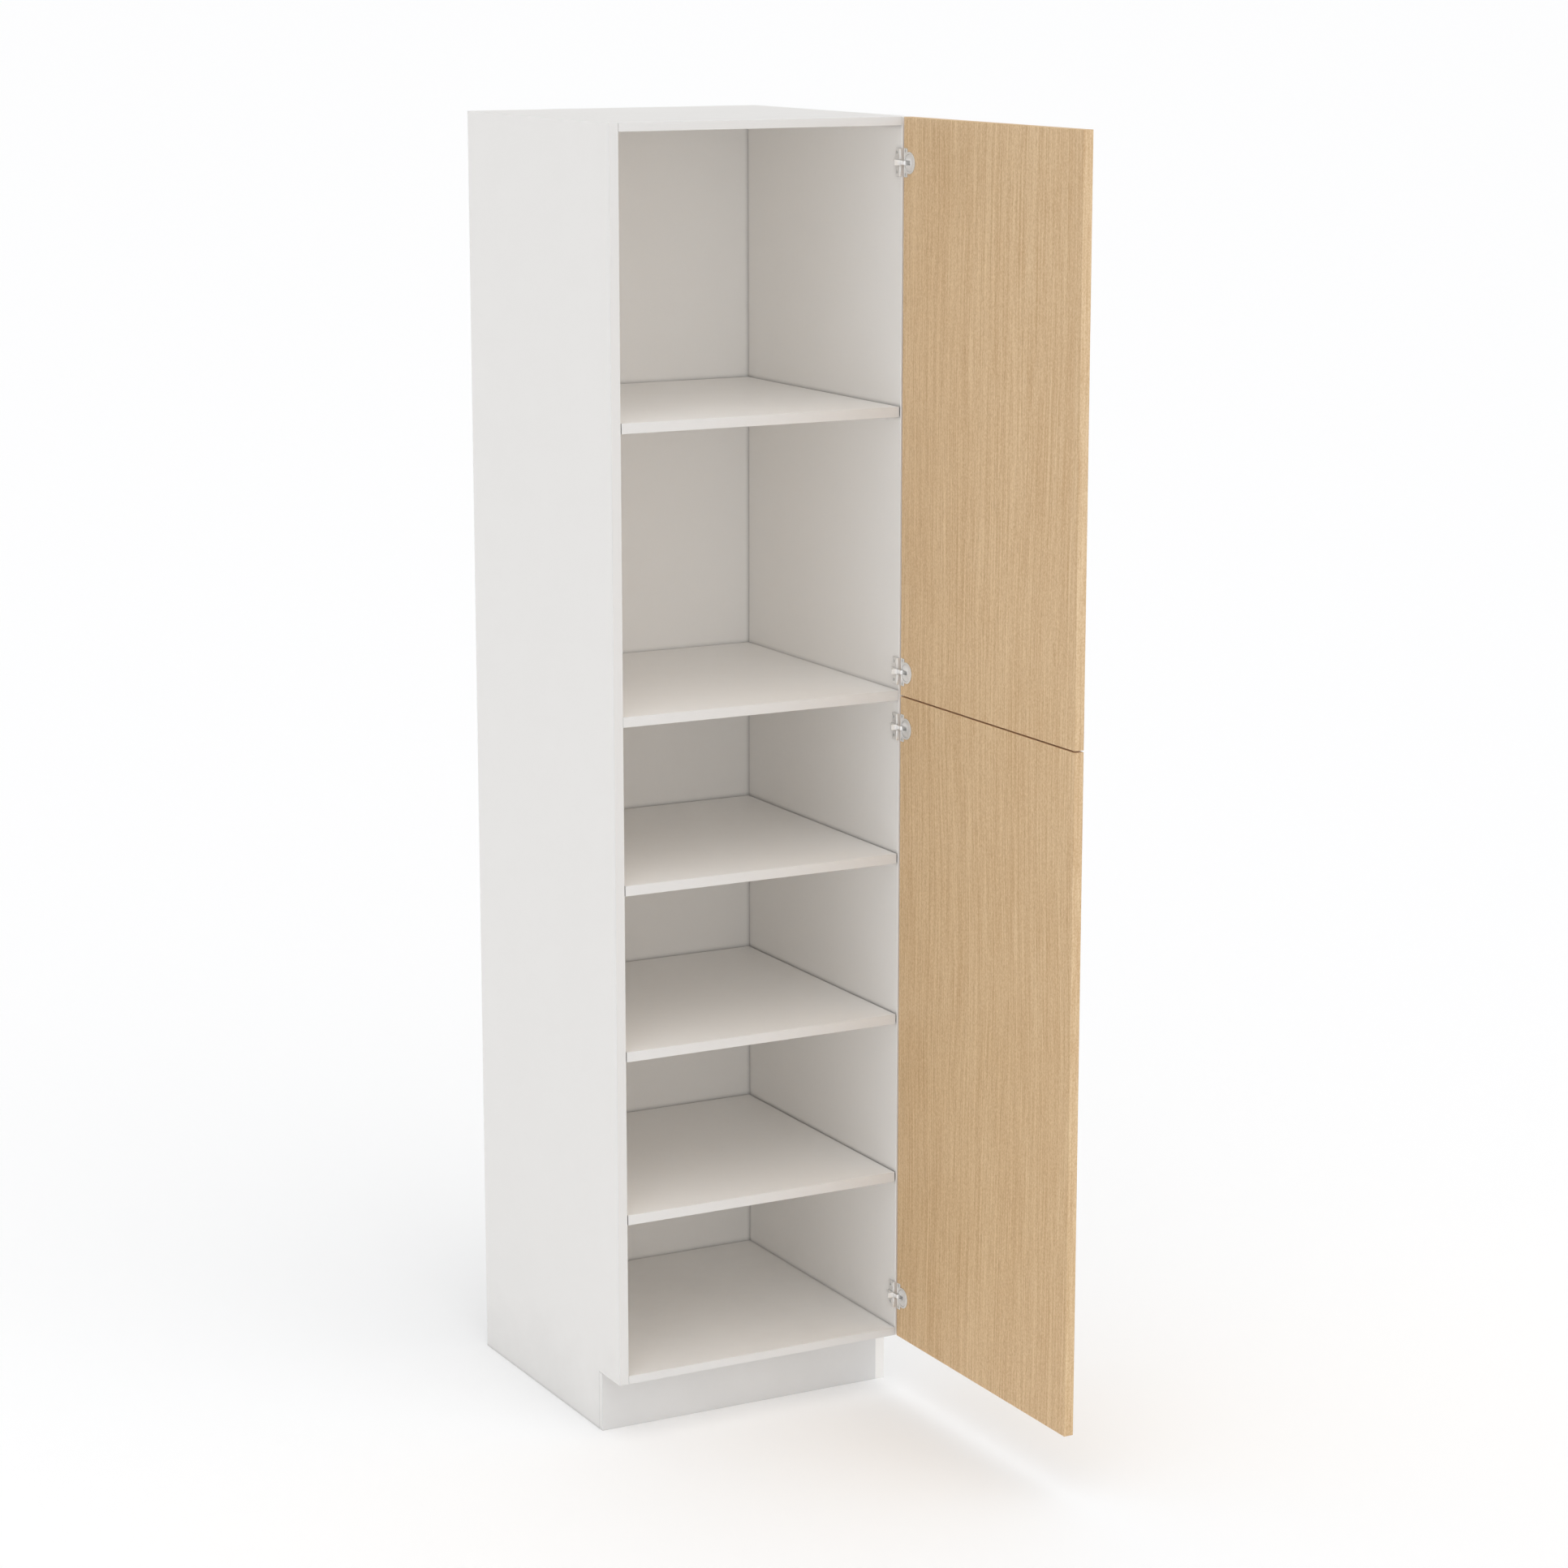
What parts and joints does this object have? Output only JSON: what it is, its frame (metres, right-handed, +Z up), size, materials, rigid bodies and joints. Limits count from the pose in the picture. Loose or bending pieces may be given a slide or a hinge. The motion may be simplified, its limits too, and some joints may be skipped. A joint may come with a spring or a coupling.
{
  "type": "pantry cabinet",
  "caption": "Tall frameless pantry cabinet, white carcass with toe recess and shelves, upper and lower oak slab doors on concealed hinges, shown open.",
  "frame": {"origin": "on the floor, midway across the carcass, in the plane of the carcass's front edges; with both doors open at a right angle this is within 1 mm of the middle of the whole object's footprint", "axes": "+X to the right of a person facing the cabinet, +Y from the front to the back, +Z up"},
  "size_m": [0.6106, 1.221, 2.4384],
  "materials": {
    "white_board": "white melamine-faced board, satin, with matching edge band",
    "oak_veneer": "light rift-cut oak, matte clear coat, grain upright",
    "hinge_nickel": "bright nickel-plated steel",
    "screw_steel": "zinc-plated steel",
    "shelf_pin_nickel": "nickel-plated steel"
  },
  "bodies": {
    "carcass": {"left_side_panel": "white_board", "right_side_panel": "white_board", "top_panel": "white_board", "bottom_panel": "white_board", "fixed_middle_shelf": "white_board", "back_panel": "white_board", "toe_kick_board": "white_board", "upper_adjustable_shelf": "white_board", "lower_adjustable_shelf_1": "white_board", "lower_adjustable_shelf_2": "white_board", "lower_adjustable_shelf_3": "white_board", "upper_adjustable_shelf_pin_left_front": "shelf_pin_nickel", "upper_adjustable_shelf_pin_left_back": "shelf_pin_nickel", "upper_adjustable_shelf_pin_right_front": "shelf_pin_nickel", "upper_adjustable_shelf_pin_right_back": "shelf_pin_nickel", "lower_adjustable_shelf_1_pin_left_front": "shelf_pin_nickel", "lower_adjustable_shelf_1_pin_left_back": "shelf_pin_nickel", "lower_adjustable_shelf_1_pin_right_front": "shelf_pin_nickel", "lower_adjustable_shelf_1_pin_right_back": "shelf_pin_nickel", "lower_adjustable_shelf_2_pin_left_front": "shelf_pin_nickel", "lower_adjustable_shelf_2_pin_left_back": "shelf_pin_nickel", "lower_adjustable_shelf_2_pin_right_front": "shelf_pin_nickel", "lower_adjustable_shelf_2_pin_right_back": "shelf_pin_nickel", "lower_adjustable_shelf_3_pin_left_front": "shelf_pin_nickel", "lower_adjustable_shelf_3_pin_left_back": "shelf_pin_nickel", "lower_adjustable_shelf_3_pin_right_front": "shelf_pin_nickel", "lower_adjustable_shelf_3_pin_right_back": "shelf_pin_nickel", "upper_door_top_hinge_plate": "hinge_nickel", "upper_door_bottom_hinge_plate": "hinge_nickel", "lower_door_top_hinge_plate": "hinge_nickel", "lower_door_bottom_hinge_plate": "hinge_nickel", "upper_door_top_hinge_arm": "hinge_nickel", "upper_door_bottom_hinge_arm": "hinge_nickel", "lower_door_top_hinge_arm": "hinge_nickel", "lower_door_bottom_hinge_arm": "hinge_nickel", "upper_door_top_hinge_plate_screw_1": "screw_steel", "upper_door_top_hinge_plate_screw_2": "screw_steel", "upper_door_bottom_hinge_plate_screw_1": "screw_steel", "upper_door_bottom_hinge_plate_screw_2": "screw_steel", "lower_door_top_hinge_plate_screw_1": "screw_steel", "lower_door_top_hinge_plate_screw_2": "screw_steel", "lower_door_bottom_hinge_plate_screw_1": "screw_steel", "lower_door_bottom_hinge_plate_screw_2": "screw_steel"},
    "upper_door_leaf": {"upper_door": "oak_veneer", "upper_door_top_hinge_cup": "hinge_nickel", "upper_door_bottom_hinge_cup": "hinge_nickel", "upper_door_top_hinge_cup_screw_1": "screw_steel", "upper_door_top_hinge_cup_screw_2": "screw_steel", "upper_door_bottom_hinge_cup_screw_1": "screw_steel", "upper_door_bottom_hinge_cup_screw_2": "screw_steel"},
    "lower_door_leaf": {"lower_door": "oak_veneer", "lower_door_top_hinge_cup": "hinge_nickel", "lower_door_bottom_hinge_cup": "hinge_nickel", "lower_door_top_hinge_cup_screw_1": "screw_steel", "lower_door_top_hinge_cup_screw_2": "screw_steel", "lower_door_bottom_hinge_cup_screw_1": "screw_steel", "lower_door_bottom_hinge_cup_screw_2": "screw_steel"}
  },
  "joints": [
    {"name": "upper_door_hinge", "type": "hinge", "parent": "carcass", "child": "upper_door_leaf", "pos_m": [0.29595, -0.01225, 1.88675], "axis": [0, 0, 1], "range_deg": [-90, 15]},
    {"name": "lower_door_hinge", "type": "hinge", "parent": "carcass", "child": "lower_door_leaf", "pos_m": [0.29595, -0.01225, 0.7542], "axis": [0, 0, 1], "range_deg": [-90, 15]}
  ]
}
